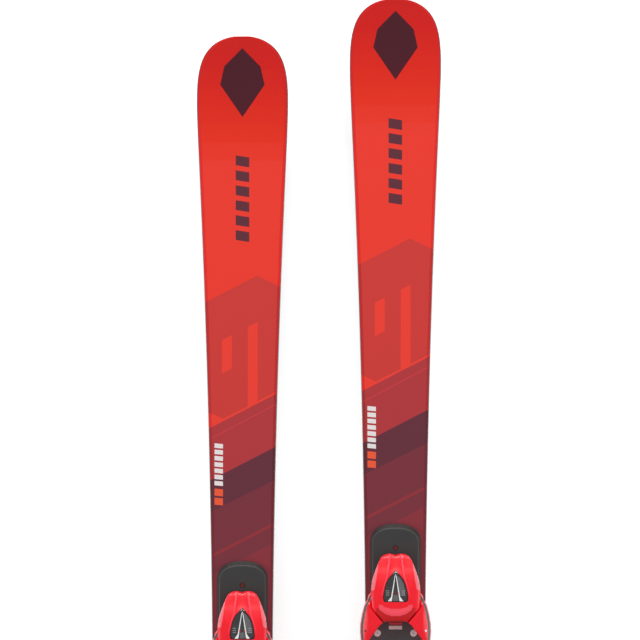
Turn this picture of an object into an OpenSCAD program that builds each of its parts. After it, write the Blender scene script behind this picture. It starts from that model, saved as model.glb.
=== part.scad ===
// A pair of alpine skis with step-in bindings, brakes down and heels closed.
// X is across, +Y points to the tips, +Z is up. Brake feet stand on Z = 0.
// Places along a ski are given as v, the distance behind its tip.
// Heights of binding parts are given above the deck, the flat top under the binding.

/* [Ski] */
// Projected length of one ski
ski_l = 1700; // [1600:1:1800]
// Width at the waist
waist_w = 72.4; // [68:0.1:80]
// Where the waist is, behind the tip
waist_v = 885; // [860:1:910]
// Sidecut radius ahead of the waist, in metres
front_radius = 15.9; // [13:0.1:20]
// Sidecut radius behind the waist, in metres
rear_radius = 22.5; // [18:0.1:28]
// Thickness under the binding
mid_t = 16; // [14:0.5:20]
// Thickness at the tip and the tail
tip_t = 6; // [5.5:0.1:8]
// Rise of the middle above the contact points
camber = 4; // [0:0.5:8]
// Rise of the tip
tip_rise = 55; // [30:1:70]
// Rise of the tail
tail_rise = 9; // [5:1:20]

/* [Pair] */
// Distance between the two centre lines
pair_gap = 186.1; // [180:0.1:240]
// How far the right ski stands ahead
stagger = 45.4; // [0:0.1:80]

/* [Binding] */
// Width of the binding plates
plate_w = 61.3; // [58:0.1:66]
// Thickness of the binding plates
plate_t = 8; // [7:0.5:10]
// Front of the toe plate, behind the tip
plate_front_v = 637; // [632:1:640]
// Top of the toe housing above the deck
toe_h = 40.5; // [39:0.5:42]
// Standing height of the boot toe above the deck
afd_h = 22; // [21.5:0.1:23]
// Length of a brake arm
arm_l = 88; // [84:1:92]
// Slope of a lowered brake arm
arm_slope = 60; // [50:1:65]

/* [Hidden] */
$fn = 48;

// ski layers
base_t = 1.6;
laminate_t = 0.6;
sheet_t = 1.4;
edge_w = 2.2;
side_lean = 0.8;
bevel_w = 3.4;
sidewall_w = 6;
front_contact = 170;
rear_contact = ski_l - 70;
flat_from = 590;
flat_to = 1310;
tip_len = 346;
tail_len = 110;

// binding places, behind the tip, and heights, above the deck
floor_t = 5;
floor_z = plate_t + floor_t;
toe_pivot_x = 27;
toe_pivot_v = 727;
toe_axis_z = 21.5;
barrel_top = 31;
wing_z = 14;
wing_low_top = 33;
pin_r = 3;
fit = 0.05;
screw_hole_v = 666.6;
screw_hole_r = 3.3;
heel_plate_v = 1000;
heel_plate_end = 1265;
rail_z = plate_t;
carriage_from = 1048;
carriage_to = 1165;
carriage_top = 22;
heel_pivot_v = 1145;
heel_pivot_z = 34;
heel_pin_r = 4;
heel_axis_z = 55;
lever_v = 1140;
lever_z = 79;
lever_l = 72;
lever_rise = 25;
brake_v = 1060;
brake_z = 18;
arm_x = 43;
arm_r = 2.75;
foot_r = 4;
pedal_lift = 65;
rack_pitch = 5;

// heights above the floor the feet stand on
deck = arm_l * sin(arm_slope) + foot_r - brake_z;
base_z = deck - mid_t - camber;

function at(v) = ski_l / 2 - v;
function smooth(s) = let (c = min(1, max(0, s))) c * c * (3 - 2 * c);

// Underside of the ski: arched in the middle, turned up at both ends
function under(v) = base_z
    + camber * smooth(min((v - front_contact) / (flat_from - front_contact),
                          (rear_contact - v) / (rear_contact - flat_to)))
    + tip_rise * pow(max(0, (front_contact - v) / front_contact), 2.2)
    + tail_rise * pow(max(0, (v - rear_contact) / (ski_l - rear_contact)), 2);
function thick(v) = tip_t + (mid_t - tip_t) * smooth(min((v - 80) / (flat_from - 80),
    (ski_l - 60 - v) / (ski_l - 60 - flat_to)));

// Half width: sidecut, rounded off at the tip and at the tail
function round_off(s, n, q) = pow(1 - pow(1 - min(1, max(0, s)), n), 1 / q);
function side_w(v) = waist_w
    + pow(v - waist_v, 2) / (1000 * (v < waist_v ? front_radius : rear_radius));
function half_w(v) = side_w(v) / 2 * round_off((v + 0.6) / tip_len, 12.5, 2.094)
    * round_off((ski_l - v + 0.5) / tail_len, 6, 3);

// Cross sections are taken closely at the ends and widely in the middle
steps = 44;
cut = [for (i = [0 : steps]) ski_l / 2 * (1 - cos(180 * i / steps))];
core_from = 8;
core_to = steps - 7;
all_cuts = [0 : steps];
core_cuts = [core_from : core_to];

function z_laminate(v) = under(v) + base_t;
function z_core(v) = z_laminate(v) + laminate_t;
function z_sheet(v) = under(v) + thick(v) - sheet_t;
function z_core_top(v) = z_sheet(v) - laminate_t;

// A body through the same cross section at each cut; shape gives [x, z] points, bottom first
module swept(cuts, shape) {
    places = [for (i = cuts) cut[i]];
    n = len(shape(places[0]));
    m = len(places);
    polyhedron(
        points = [for (v = places) for (p = shape(v)) [p[0], at(v), p[1]]],
        faces = concat(
            [[for (i = [0 : n - 1]) i]],
            [[for (i = [0 : n - 1]) m * n - 1 - i]],
            [for (s = [0 : m - 2], i = [0 : n - 1], half = [0, 1])
                let (a = s * n + i, b = s * n + (i + 1) % n)
                half == 0 ? [a, a + n, b + n] : [a, b + n, b]]));
}

function slab(w0, w1, z0, z1) = [[-w0, z0], [w0, z0], [w1, z1], [-w1, z1]];

// Places one ski of the pair
module left() translate([-pair_gap / 2, -stagger / 2, 0]) children();
module right() translate([pair_gap / 2, stagger / 2, 0]) children();
module on_deck() translate([0, 0, deck]) children();
module both_sides() { children(); mirror([1, 0, 0]) children(); }

// A plan outline given as [x, v] points of its right half, drawn whole and raised from z0 to z1
module plan_block(half, z0, z1) translate([0, 0, z0]) linear_extrude(z1 - z0) plan(half);
module plan(half) polygon(concat([for (p = half) [p[0], at(p[1])]],
    [for (i = [len(half) - 1 : -1 : 0]) if (half[i][0] > 0) [-half[i][0], at(half[i][1])]]));
// A side outline given as [v, z] points, from x0 to x1
module side_block(x0, x1) translate([x0, 0, 0]) rotate([90, 0, 90]) linear_extrude(x1 - x0)
    children();
module side(points) polygon([for (p = points) [at(p[0]), p[1]]]);
// A box from v0 to v1, x0 to x1, z0 to z1
module block(x0, x1, v0, v1, z0, z1)
    translate([x0, at(v1), z0]) cube([x1 - x0, v1 - v0, z1 - z0]);
module along_y(x, v0, v1, z, r) translate([x, at(v0), z]) rotate([90, 0, 0])
    cylinder(r = r, h = v1 - v0);
module along_x(x0, x1, v, z, r) translate([x0, at(v), z]) rotate([0, 90, 0])
    cylinder(r = r, h = x1 - x0);
module upright(x, v, z0, z1, r) translate([x, at(v), z0]) cylinder(r = r, h = z1 - z0);

// ---------- ski ----------
module running_base() color("black")
    swept(all_cuts, function (v) slab(half_w(v) - edge_w, half_w(v) - edge_w,
        under(v), z_laminate(v)));

module steel_edges() color("silver")
    for (s = [-1, 1]) swept(all_cuts, function (v)
        let (a = s * half_w(v), b = s * (half_w(v) - edge_w), lo = min(a, b), hi = max(a, b))
        [[lo, under(v)], [hi, under(v)], [hi, z_laminate(v)], [lo, z_laminate(v)]]);

module laminates() color("gold") {
    swept(all_cuts, function (v) slab(half_w(v), half_w(v), z_laminate(v), z_core(v)));
    swept(all_cuts, function (v) slab(half_w(v) - side_lean, half_w(v) - side_lean,
        z_core_top(v), z_sheet(v)));
}

module wood_core() color("burlywood")
    swept(core_cuts, function (v) slab(half_w(v) - sidewall_w, half_w(v) - sidewall_w,
        z_core(v), z_core_top(v)));

module sidewalls() color("dimgray") {
    for (s = [-1, 1]) swept(core_cuts, function (v)
        let (out0 = s * half_w(v), out1 = s * (half_w(v) - side_lean),
            in = s * (half_w(v) - sidewall_w))
        s > 0 ? [[in, z_core(v)], [out0, z_core(v)], [out1, z_core_top(v)], [in, z_core_top(v)]]
              : [[out0, z_core(v)], [in, z_core(v)], [in, z_core_top(v)], [out1, z_core_top(v)]]);
    // solid spacers ahead of and behind the core
    for (ends = [[0 : core_from], [core_to : steps]]) swept(ends, function (v)
        slab(half_w(v), half_w(v) - side_lean, z_core(v), z_core_top(v)));
}

module top_sheet() color("orangered")
    swept(all_cuts, function (v) let (w = half_w(v) - side_lean, z = z_sheet(v))
        [[-w, z], [w, z], [w, z + 0.3], [w - bevel_w, z + sheet_t],
         [bevel_w - w, z + sheet_t], [-w, z + 0.3]]);

// ---------- plates and screws ----------
plate_hw = plate_w / 2;
cap_l = 20.7;
// Half outline of a plate with one long rounded end at v0 and a squarer end at v1
function cap_points(hw, v0, len, sign) = [for (a = [0 : 7.5 : 90])
    [hw * pow(sin(a), 0.91), v0 + sign * len * (1 - pow(cos(a), 0.91))]];
function plate_outline(hw, v0, v1, len0, len1) = concat(cap_points(hw, v0, len0, 1),
    [for (i = [12 : -1 : 0]) cap_points(hw, v1, len1, -1)[i]]);

module bevelled_plate(v0, v1, len0, len1) hull() {
    plan_block(plate_outline(plate_hw, v0, v1, len0, len1), 0, plate_t - 3.6);
    plan_block(plate_outline(plate_hw - 4, v0 + 4.5, v1 - 4.5, len0 - 2, len1), 0, plate_t);
}

front_screws = [[22.1, 770, floor_z], [21, 862, plate_t]];
rear_screws = [[21, 1016, plate_t], [23, 1250, plate_t]];
all_screws = concat(front_screws, rear_screws);
screw_r = 2.75;
head_r = 4.45;

module screw_holes(top_only = false) both_sides() for (s = all_screws) {
    upright(s[0], s[1], -1, 30, screw_r + fit);
    upright(s[0], s[1], s[2] - 2.6, 30, head_r + 0.15);
}

module binding_plates() color([0.24, 0.24, 0.24]) on_deck() difference() {
    union() {
        bevelled_plate(plate_front_v, 884, cap_l, 8);
        bevelled_plate(heel_plate_v, heel_plate_end, 8, cap_l);
    }
    screw_holes();
    upright(0, screw_hole_v, -1, plate_t + 1, screw_hole_r);
}

module binding_screws() color("silver") on_deck() both_sides() for (s = all_screws)
    difference() {
        union() {
            upright(s[0], s[1], -9, s[2] - 2.5, screw_r);
            upright(s[0], s[1], s[2] - 2.5, s[2], head_r);
        }
        for (turn = [0, 90]) translate([s[0], at(s[1]), s[2]]) rotate(turn)
            cube([5, 1.2, 3], center = true);
    }

// ---------- toe piece ----------
toe_outline = [[0, 674.7], [4, 673.6], [8, 673], [13, 674.3], [17.3, 677], [21, 684.5],
    [24.7, 693.9], [27.5, 702.3], [29.9, 711.5], [30.8, 719], [30.8, 728], [30.4, 737.9],
    [14.5, 756.5], [13, 755.6], [0, 755]];
function toe_side(low) = [[672, low], [672, toe_h - 16], [678, toe_h - 12.2],
    [690, toe_h - 8.7], [705, toe_h - 4], [718, toe_h - 1], [735, toe_h], [750, toe_h - 1],
    [758, toe_h - 4], [758, low]];
function toe_front(low) = [[-32, low], [32, low], [32, toe_h - 6.5], [28, toe_h - 3.5],
    [22, toe_h - 1.5], [12, toe_h - 0.2], [0, toe_h + 0.5], [-12, toe_h - 0.2],
    [-22, toe_h - 1.5], [-28, toe_h - 3.5], [-32, toe_h - 6.5]];
window_outline = [[0, 693], [5.5, 699], [8.5, 702.5], [10.5, 706], [12.5, 711], [14, 717],
    [14.8, 722], [15.3, 728], [14.4, 731.4], [0, 731.4]];

// The housing's outer form, or with inset its inside
module toe_form(low, inset) intersection() {
    translate([0, 0, low]) linear_extrude(60) offset(delta = -inset) plan(toe_outline);
    side_block(-40, 40) offset(delta = -inset) side(toe_side(low - inset));
    translate([0, at(660), 0]) rotate([90, 0, 0]) linear_extrude(110)
        offset(delta = -inset) polygon(toe_front(low - inset));
}

module toe_housing() color("crimson") on_deck() difference() {
    toe_form(floor_z + 0.2, 0);
    toe_form(floor_z - 1, 2.6);
    // the wings swing out through both sides
    both_sides() block(13.8, 40, 708, 770, floor_z - 1, wing_low_top + 0.6);
    plan_block([[0, 692.4], [6, 698.4], [11, 705.6], [14.5, 716.8], [15.8, 728],
        [14.9, 731.9], [0, 731.9]], barrel_top - 3, 60);
    along_y(0, 660, 700, toe_axis_z, 5.2);
    // pins end in the roof
    both_sides() upright(toe_pivot_x, toe_pivot_v, wing_low_top, wing_low_top + 2.2, pin_r + fit);
}

module toe_window() color([0.1, 0.1, 0.1, 0.6]) on_deck() intersection() {
    plan_block(window_outline, 30, 60);
    translate([0, 0, -0.6]) difference() {
        side_block(-20, 20) side(toe_side(0));
        translate([0, 0, -2]) side_block(-21, 21) side(toe_side(-5));
    }
}

module toe_chassis() color([0.08, 0.08, 0.08]) on_deck() difference() {
    union() {
        plan_block([[0, 678], [14, 678.5], [18.5, 688], [23, 697], [27, 708], [29.5, 718],
            [33.5, 727], [33.5, 735], [31, 744], [31, 848], [0, 848]], plate_t, floor_z);
        block(-13, 13, 700, 752, floor_z, barrel_top);
        // seat and cross rib of the sliding foot rest
        block(-30, 30, 796, 846, floor_z, 17);
        block(-29, 29, 817, 825, 17, 19.3);
    }
    along_y(0, 699, 749, toe_axis_z, 8.2);
    both_sides() upright(toe_pivot_x, toe_pivot_v, plate_t + 1, floor_z + 1, pin_r + 0.02);
    screw_holes();
}

module toe_wing_pins() color("silver") on_deck() both_sides()
    upright(toe_pivot_x, toe_pivot_v, plate_t + 1, wing_low_top + 2, pin_r);

wing_outline = [[29.6, 719.8], [33.4, 726.5], [38.2, 735.8], [41, 747], [42.9, 758],
    [43.3, 767.5], [42.4, 778.5], [40.2, 787], [37.6, 790], [35, 788.6], [33.6, 783],
    [31.2, 776], [24.7, 767.7], [19.2, 760], [15.2, 757.2], [23, 748]];
wing_top = [[31.3, 730], [35, 730], [38.2, 735.8], [41, 747], [42.9, 758],
    [43.3, 767.5], [42.4, 778.5], [40.2, 787], [37.6, 790], [35, 788.6], [33.6, 783],
    [31.2, 776], [24.7, 767.7], [19.2, 760], [15.2, 757.2], [31.3, 738.4]];

// One wing, drawn for the side where x is positive
module toe_wing() on_deck() difference() {
    intersection() {
        union() {
            translate([0, 0, wing_z]) linear_extrude(wing_low_top - wing_z)
                polygon([for (p = wing_outline) [p[0], at(p[1])]]);
            translate([0, 0, wing_low_top - 1]) linear_extrude(9)
                polygon([for (p = wing_top) [p[0], at(p[1])]]);
            upright(toe_pivot_x, toe_pivot_v, wing_z, wing_low_top, 6.6);
        }
        side_block(0, 50) side([[710, 0], [710, wing_low_top], [729.9, wing_low_top],
            [732, toe_h - 3], [745, toe_h - 1], [765, toe_h - 2], [781, toe_h - 5],
            [792, toe_h - 11], [792, 0]]);
        translate([0, at(700), 0]) rotate([90, 0, 0]) linear_extrude(100)
            polygon([[0, 0], [44, 0], [44, toe_h - 14], [40, toe_h - 7], [33, toe_h - 2],
                [26, toe_h], [0, toe_h]]);
    }
    upright(toe_pivot_x, toe_pivot_v, wing_z - 1, 60, pin_r + fit);
}
module toe_wing_right() color("crimson") toe_wing();
module toe_wing_left() color("crimson") mirror([1, 0, 0]) toe_wing();

module toe_release_screw() color("silver") on_deck() difference() {
    union() {
        along_y(0, 676.5, 683, toe_axis_z, 4.7);
        along_y(0, 682, 744, toe_axis_z, 2.9);
        along_y(0, 700, 704, toe_axis_z, 7.8);
    }
    block(-6, 6, 676, 678.5, toe_axis_z - 0.8, toe_axis_z + 0.8);
}

// A wound spring around an axis along Y; sections are hexagons of wire
module coil(v0, v1, z, r, wire, turns) {
    n = 6;
    per_turn = 14;
    m = turns * per_turn;
    pitch = (v1 - v0 - 2 * wire) / turns;
    translate([0, at(v0 + wire), z]) polyhedron(
        points = [for (i = [0 : m]) let (a = 360 * i / per_turn, y = -pitch * i / per_turn)
            for (k = [0 : n - 1]) let (rr = r + wire * cos(360 * k / n))
            [rr * cos(a), y + wire * sin(360 * k / n), rr * sin(a)]],
        faces = concat([[for (k = [0 : n - 1]) k]],
            [[for (k = [0 : n - 1]) (m + 1) * n - 1 - k]],
            [for (s = [0 : m - 1], k = [0 : n - 1], half = [0, 1])
                let (a = s * n + k, b = s * n + (k + 1) % n)
                half == 0 ? [a, a + n, b + n] : [a, b + n, b]]));
}

module toe_spring() color("gray") on_deck() coil(705, 748, toe_axis_z, 6, 1.1, 8);

module toe_indicator() color("white") on_deck() difference() {
    plan_block([[0, 712], [1.6, 712], [5, 727], [2.6, 727], [2.1, 722], [0, 722]],
        barrel_top + 0.6, barrel_top + 3);
    block(-1.1, 1.1, 716.5, 719.5, 30, 40);
}

module afd_slider() color([0.85, 0.85, 0.87]) on_deck() difference() {
    plan_block([[0, 799], [22, 799], [27, 804], [27, 838], [22, 843], [0, 843]], 17.5, afd_h);
    block(-40, 40, 816.6, 825.4, 10, 19.7);
}

// ---------- heel piece ----------
module heel_track() color("silver") on_deck() difference() {
    union() {
        block(-14, 14, 1030, 1244, rail_z, rail_z + 1.6);
        block(-18, 18, 1030, 1244, rail_z + 1.6, rail_z + 3.5);
    }
    for (i = [0 : 26])
        block(-6, 6, 1092 + rack_pitch * i, 1094.5 + rack_pitch * i, rail_z + 1.7, rail_z + 5);
}

// Cheek of the carriage around the axle
module cheek() hull() {
    along_x(23, 28, heel_pivot_v, heel_pivot_z, 11);
    block(23, 28, heel_pivot_v - 15, heel_pivot_v + 15, carriage_top - 4, carriage_top - 1);
}

module heel_carriage() color([0.08, 0.08, 0.08]) on_deck() difference() {
    union() {
        block(-28, 28, 1074, carriage_to, plate_t + 0.3, carriage_top);
        both_sides() {
            cheek();
            block(16, 27, 1060, 1075, plate_t + 0.3, brake_z);
            block(16, 27, 1053, 1061, plate_t + 0.3, brake_z);
            along_x(16, 27, brake_v, brake_z, 7);
        }
    }
    // channel that holds the rail
    block(-18.3, 18.3, 1000, 1200, rail_z + 1.3, rail_z + 3.8);
    block(-14.3, 14.3, 1000, 1200, rail_z - 1, rail_z + 2);
    both_sides() {
        along_x(15, 29, brake_v, brake_z, arm_r + fit);
        along_x(22, 29, heel_pivot_v, heel_pivot_z, heel_pin_r + 0.02);
    }
    // bearings of the adjusting screw, and the pocket its thread turns in
    along_y(0, 1118, 1170, 17, 3.65);
    block(-6, 6, 1121.5, 1158.5, rail_z, carriage_top + 1);
}

module heel_axle() color("silver") on_deck()
    along_x(-28, 28, heel_pivot_v, heel_pivot_z, heel_pin_r);

module heel_adjust_screw() color("silver") on_deck() difference() {
    union() {
        along_y(0, 1120, 1169, 17, 3.6);
        for (i = [0 : 6]) along_y(0, 1124 + rack_pitch * i, 1126 + rack_pitch * i, 17, 5);
    }
    block(-5, 5, 1167, 1170, 16.4, 17.6);
}

heel_side = [[1101, 56.5], [1086, 58.5], [1085, 63], [1096, 69], [1112, 73], [1150, 73],
    [1172, 70], [1184, 62], [1184, 56], [1178, 49], [1160, 33], [1152, 26], [1145, 23.8],
    [1136, 25.5], [1118, 29], [1104, 24.2], [1083, 24.2], [1083, 29.4], [1097, 31],
    [1101, 40]];
heel_wide = [[1101, 49], [1076, 50], [1076, 61], [1085, 64], [1096, 69], [1112, 72],
    [1150, 72], [1163, 68], [1163, 58], [1150, 49]];

module heel_housing() color("crimson") on_deck() difference() {
    union() {
        side_block(-22.4, 22.4) side(heel_side);
        intersection() {
            side_block(-31, 31) side(heel_wide);
            translate([0, at(1070), 0]) rotate([90, 0, 0]) linear_extrude(100)
                polygon([[-31, 40], [31, 40], [31, 60], [26, 68], [16, 73], [-16, 73],
                    [-26, 68], [-31, 60]]);
        }
        // ears for the lever
        both_sides() {
            along_x(10.5, 15.5, lever_v, lever_z, 6.5);
            block(10.5, 15.5, lever_v - 6.5, lever_v + 6.5, 70, lever_z);
        }
    }
    // hollow for the boot's heel, under the lip, and the lip's own curve
    upright(0, 1061, 29.6, 57.5, 34.2);
    upright(0, 1061, 57, 80, 28);
    along_x(-30, 30, heel_pivot_v, heel_pivot_z, heel_pin_r + fit);
    along_y(0, 1106, 1172, heel_axis_z, 8.2);
    along_y(0, 1170, 1190, heel_axis_z, 5.9);
    along_x(-16, 16, lever_v, lever_z, pin_r + fit);
    block(-10.5, 10.5, lever_v - 12, lever_v + 12, 73, 90);
    block(-6, 6, 1109, 1131, 69.5, 75);
}

module heel_spring() color("gray") on_deck() coil(1110, 1166.5, heel_axis_z, 6, 1.1, 10);

module heel_lever() color([0.1, 0.1, 0.1]) on_deck() difference() {
    union() {
        along_x(-15.5, 15.5, lever_v, lever_z, pin_r);
        along_x(-9.8, 9.8, lever_v, lever_z, 5.8);
        translate([0, at(lever_v), lever_z]) rotate([-lever_rise, 0, 0])
            translate([0, 0, -1.5]) linear_extrude(6) polygon([[-9, 1], [9, 1],
                [10.5, -24], [19, -52], [21, -64], [16, -lever_l], [-16, -lever_l],
                [-21, -64], [-19, -52], [-10.5, -24]]);
    }
    // dish for the pole tip
    translate([0, at(lever_v), lever_z]) rotate([-lever_rise, 0, 0])
        translate([0, -58, 3]) cylinder(r = 9, h = 4);
}

module heel_release_screw() color("silver") on_deck() difference() {
    union() {
        along_y(0, 1172.2, 1183, heel_axis_z, 5.4);
        along_y(0, 1110, 1173, heel_axis_z, 2.9);
        along_y(0, 1167.5, 1171.5, heel_axis_z, 7.8);
    }
    block(-6, 6, 1181, 1184, heel_axis_z - 0.8, heel_axis_z + 0.8);
}

module heel_indicator() color("white") on_deck()
    block(-5, 5, 1116, 1124, 69.9, 72.2);

// ---------- brake ----------
module brake_arms() color("silver") on_deck() {
    along_x(-arm_x, arm_x, brake_v, brake_z, arm_r);
    both_sides() translate([arm_x, at(brake_v), brake_z]) {
        sphere(r = arm_r);
        rotate([90 + arm_slope, 0, 0]) cylinder(r = arm_r, h = arm_l);
    }
}

module brake_feet() color([0.08, 0.08, 0.08]) on_deck() both_sides()
    translate([arm_x, at(brake_v), brake_z]) rotate([90 + arm_slope, 0, 0]) difference() {
        union() {
            translate([0, 0, arm_l]) rotate([0, 90, 0])
                cylinder(r = foot_r, h = 8, center = true);
            translate([-4, -foot_r, arm_l - 44]) cube([8, 2 * foot_r, 44]);
            translate([-1.5, foot_r - 1, arm_l - 40]) cube([3, 10, 38]);
        }
        translate([0, 0, -1]) cylinder(r = arm_r + 0.02, h = arm_l + 1.02);
    }

module brake_pedal() color([0.08, 0.08, 0.08]) on_deck()
    translate([0, at(brake_v), brake_z]) rotate([pedal_lift, 0, 0]) difference() {
        union() {
            rotate([0, 90, 0]) cylinder(r = 6, h = 28, center = true);
            translate([-14, 0, 0]) cube([28, 16, 5]);
            translate([0, 13, 0]) linear_extrude(5) polygon([[-22, 0], [22, 0], [23, 30],
                [17, 38], [-17, 38], [-23, 30]]);
            for (i = [0 : 4]) translate([-17, 18 + 6 * i, 4.5]) cube([34, 3, 1.7]);
        }
        rotate([0, 90, 0]) cylinder(r = arm_r + 0.02, h = 40, center = true);
    }

left() running_base();  // left_running_base
left() steel_edges();  // left_steel_edges
left() laminates();  // left_laminates
left() wood_core();  // left_wood_core
left() sidewalls();  // left_sidewalls
left() top_sheet();  // left_top_sheet
left() binding_plates();  // left_binding_plates
left() binding_screws();  // left_binding_screws
left() toe_chassis();  // left_toe_chassis
left() toe_housing();  // left_toe_housing
left() toe_window();  // left_toe_window
left() toe_wing_pins();  // left_toe_wing_pins
left() toe_spring();  // left_toe_spring
left() toe_wing_left();  // left_toe_wing_left
left() toe_wing_right();  // left_toe_wing_right
left() toe_release_screw();  // left_toe_release_screw
left() toe_indicator();  // left_toe_indicator
left() afd_slider();  // left_afd_slider
left() heel_track();  // left_heel_track
left() heel_carriage();  // left_heel_carriage
left() heel_axle();  // left_heel_axle
left() heel_adjust_screw();  // left_heel_adjust_screw
left() heel_housing();  // left_heel_housing
left() heel_spring();  // left_heel_spring
left() heel_lever();  // left_heel_lever
left() heel_release_screw();  // left_heel_release_screw
left() heel_indicator();  // left_heel_indicator
left() brake_arms();  // left_brake_arms
left() brake_feet();  // left_brake_feet
left() brake_pedal();  // left_brake_pedal
right() running_base();  // right_running_base
right() steel_edges();  // right_steel_edges
right() laminates();  // right_laminates
right() wood_core();  // right_wood_core
right() sidewalls();  // right_sidewalls
right() top_sheet();  // right_top_sheet
right() binding_plates();  // right_binding_plates
right() binding_screws();  // right_binding_screws
right() toe_chassis();  // right_toe_chassis
right() toe_housing();  // right_toe_housing
right() toe_window();  // right_toe_window
right() toe_wing_pins();  // right_toe_wing_pins
right() toe_spring();  // right_toe_spring
right() toe_wing_left();  // right_toe_wing_left
right() toe_wing_right();  // right_toe_wing_right
right() toe_release_screw();  // right_toe_release_screw
right() toe_indicator();  // right_toe_indicator
right() afd_slider();  // right_afd_slider
right() heel_track();  // right_heel_track
right() heel_carriage();  // right_heel_carriage
right() heel_axle();  // right_heel_axle
right() heel_adjust_screw();  // right_heel_adjust_screw
right() heel_housing();  // right_heel_housing
right() heel_spring();  // right_heel_spring
right() heel_lever();  // right_heel_lever
right() heel_release_screw();  // right_heel_release_screw
right() heel_indicator();  // right_heel_indicator
right() brake_arms();  // right_brake_arms
right() brake_feet();  // right_brake_feet
right() brake_pedal();  // right_brake_pedal
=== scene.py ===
"""Looks of the pair of alpine skis with bindings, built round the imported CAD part.

Shapes are written in millimetres in one ski's own frame, as in the CAD source: x is across,
v is the distance behind the tip and z is up. piece() puts them in their ski's place.
"""

import math

import bmesh
import bpy
from mathutils import Matrix, Vector


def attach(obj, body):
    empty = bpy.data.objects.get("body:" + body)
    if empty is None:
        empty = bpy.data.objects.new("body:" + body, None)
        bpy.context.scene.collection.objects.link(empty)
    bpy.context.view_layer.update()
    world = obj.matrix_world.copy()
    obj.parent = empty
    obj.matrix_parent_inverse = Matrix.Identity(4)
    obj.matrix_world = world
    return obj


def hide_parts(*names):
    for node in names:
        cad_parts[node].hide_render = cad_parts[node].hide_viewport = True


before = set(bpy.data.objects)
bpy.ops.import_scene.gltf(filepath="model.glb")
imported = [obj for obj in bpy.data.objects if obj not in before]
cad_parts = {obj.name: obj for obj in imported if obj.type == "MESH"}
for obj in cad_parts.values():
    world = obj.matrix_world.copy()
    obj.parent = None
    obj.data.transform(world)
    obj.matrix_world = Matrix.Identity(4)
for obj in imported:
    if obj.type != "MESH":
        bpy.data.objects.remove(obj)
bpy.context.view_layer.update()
scene = bpy.context.scene
scene.view_settings.view_transform = "Standard"

# ---------------------------------------------------------------- dimensions, mm
SKI_L = 1700
PAIR_GAP = 186.1
STAGGER = 45.4
ARM_L, ARM_SLOPE, FOOT_R, BRAKE_V, BRAKE_Z = 88, 60, 4, 1060, 18
DECK = ARM_L * math.sin(math.radians(ARM_SLOPE)) + FOOT_R - BRAKE_Z
BASE_Z = DECK - 16 - 4
PLATE_T, PLATE_W, FLOOR_Z = 8, 61.3, 13
TOE_AXIS_Z, HEEL_AXIS_Z = 21.5, 55
SIDES = ("left", "right")


def at(v):
    return SKI_L / 2 - v


def clamp(s):
    return min(1.0, max(0.0, s))


def smooth(s):
    c = clamp(s)
    return c * c * (3 - 2 * c)


def under(v):
    return (BASE_Z + 4 * smooth(min((v - 170) / 420, (1630 - v) / 320))
            + 55 * max(0, (170 - v) / 170) ** 2.2 + 9 * max(0, (v - 1630) / 70) ** 2)


def thick(v):
    return 6 + 10 * smooth(min((v - 80) / 510, (1640 - v) / 330))


def half_w(v):
    def round_off(s, n, q):
        return (1 - (1 - clamp(s)) ** n) ** (1 / q)
    sidecut = 72.4 + (v - 885) ** 2 / (1000 * (15.9 if v < 885 else 22.5))
    return sidecut / 2 * round_off((v + 0.6) / 346, 12.5, 2.094) * round_off(
        (1700.5 - v) / 110, 6, 3)


def along(points, s):
    """The value at s of a line through (place, value) points."""
    for (s0, a), (s1, b) in zip(points, points[1:]):
        if s <= s1:
            return a + (b - a) * clamp((s - s0) / (s1 - s0))
    return points[-1][1]


# ---------------------------------------------------------------- materials
def linear(c):
    c = c / 255
    return c / 12.92 if c < 0.04045 else ((c + 0.055) / 1.055) ** 2.4


def paint(r, g, b, less=0.018):
    """A colour as it should look under the lights; less takes off what the gloss adds."""
    return tuple(max(0.002, linear(c) - less) for c in (r, g, b)) + (1,)


def material(name, colour, rough=0.4, metal=0.0, coat=0.0, grain=900.0, relief=0.02,
             stretch=(1, 1, 1), clear=0.0, uneven=0.06):
    """A shader whose fine relief and roughness come from stretched noise."""
    m = bpy.data.materials.new(name)
    m.use_nodes = True
    nodes, links = m.node_tree.nodes, m.node_tree.links
    shader = nodes["Principled BSDF"]
    shader.inputs["Base Color"].default_value = colour
    shader.inputs["Metallic"].default_value = metal
    shader.inputs["Coat Weight"].default_value = coat
    shader.inputs["Coat Roughness"].default_value = 0.08
    shader.inputs["Transmission Weight"].default_value = clear
    place = nodes.new("ShaderNodeTexCoord")
    scale = nodes.new("ShaderNodeMapping")
    scale.inputs["Scale"].default_value = stretch
    fine = nodes.new("ShaderNodeTexNoise")
    fine.inputs["Scale"].default_value = grain
    fine.inputs["Detail"].default_value = 3
    broad = nodes.new("ShaderNodeTexNoise")
    broad.inputs["Scale"].default_value = grain / 14
    spread = nodes.new("ShaderNodeMapRange")
    spread.inputs["To Min"].default_value = max(0.02, rough - uneven)
    spread.inputs["To Max"].default_value = min(1, rough + uneven)
    bump = nodes.new("ShaderNodeBump")
    bump.inputs["Strength"].default_value = 0.35
    bump.inputs["Distance"].default_value = relief / 1000
    links.new(place.outputs["Object"], scale.inputs["Vector"])
    links.new(scale.outputs["Vector"], fine.inputs["Vector"])
    links.new(scale.outputs["Vector"], broad.inputs["Vector"])
    links.new(fine.outputs["Fac"], bump.inputs["Height"])
    links.new(bump.outputs["Normal"], shader.inputs["Normal"])
    links.new(broad.outputs["Fac"], spread.inputs["Value"])
    links.new(spread.outputs["Result"], shader.inputs["Roughness"])
    return m


def lacquer(name, *rgb):
    return material(name, paint(*rgb), rough=0.34, coat=0.15, grain=500, relief=0.01)


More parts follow.
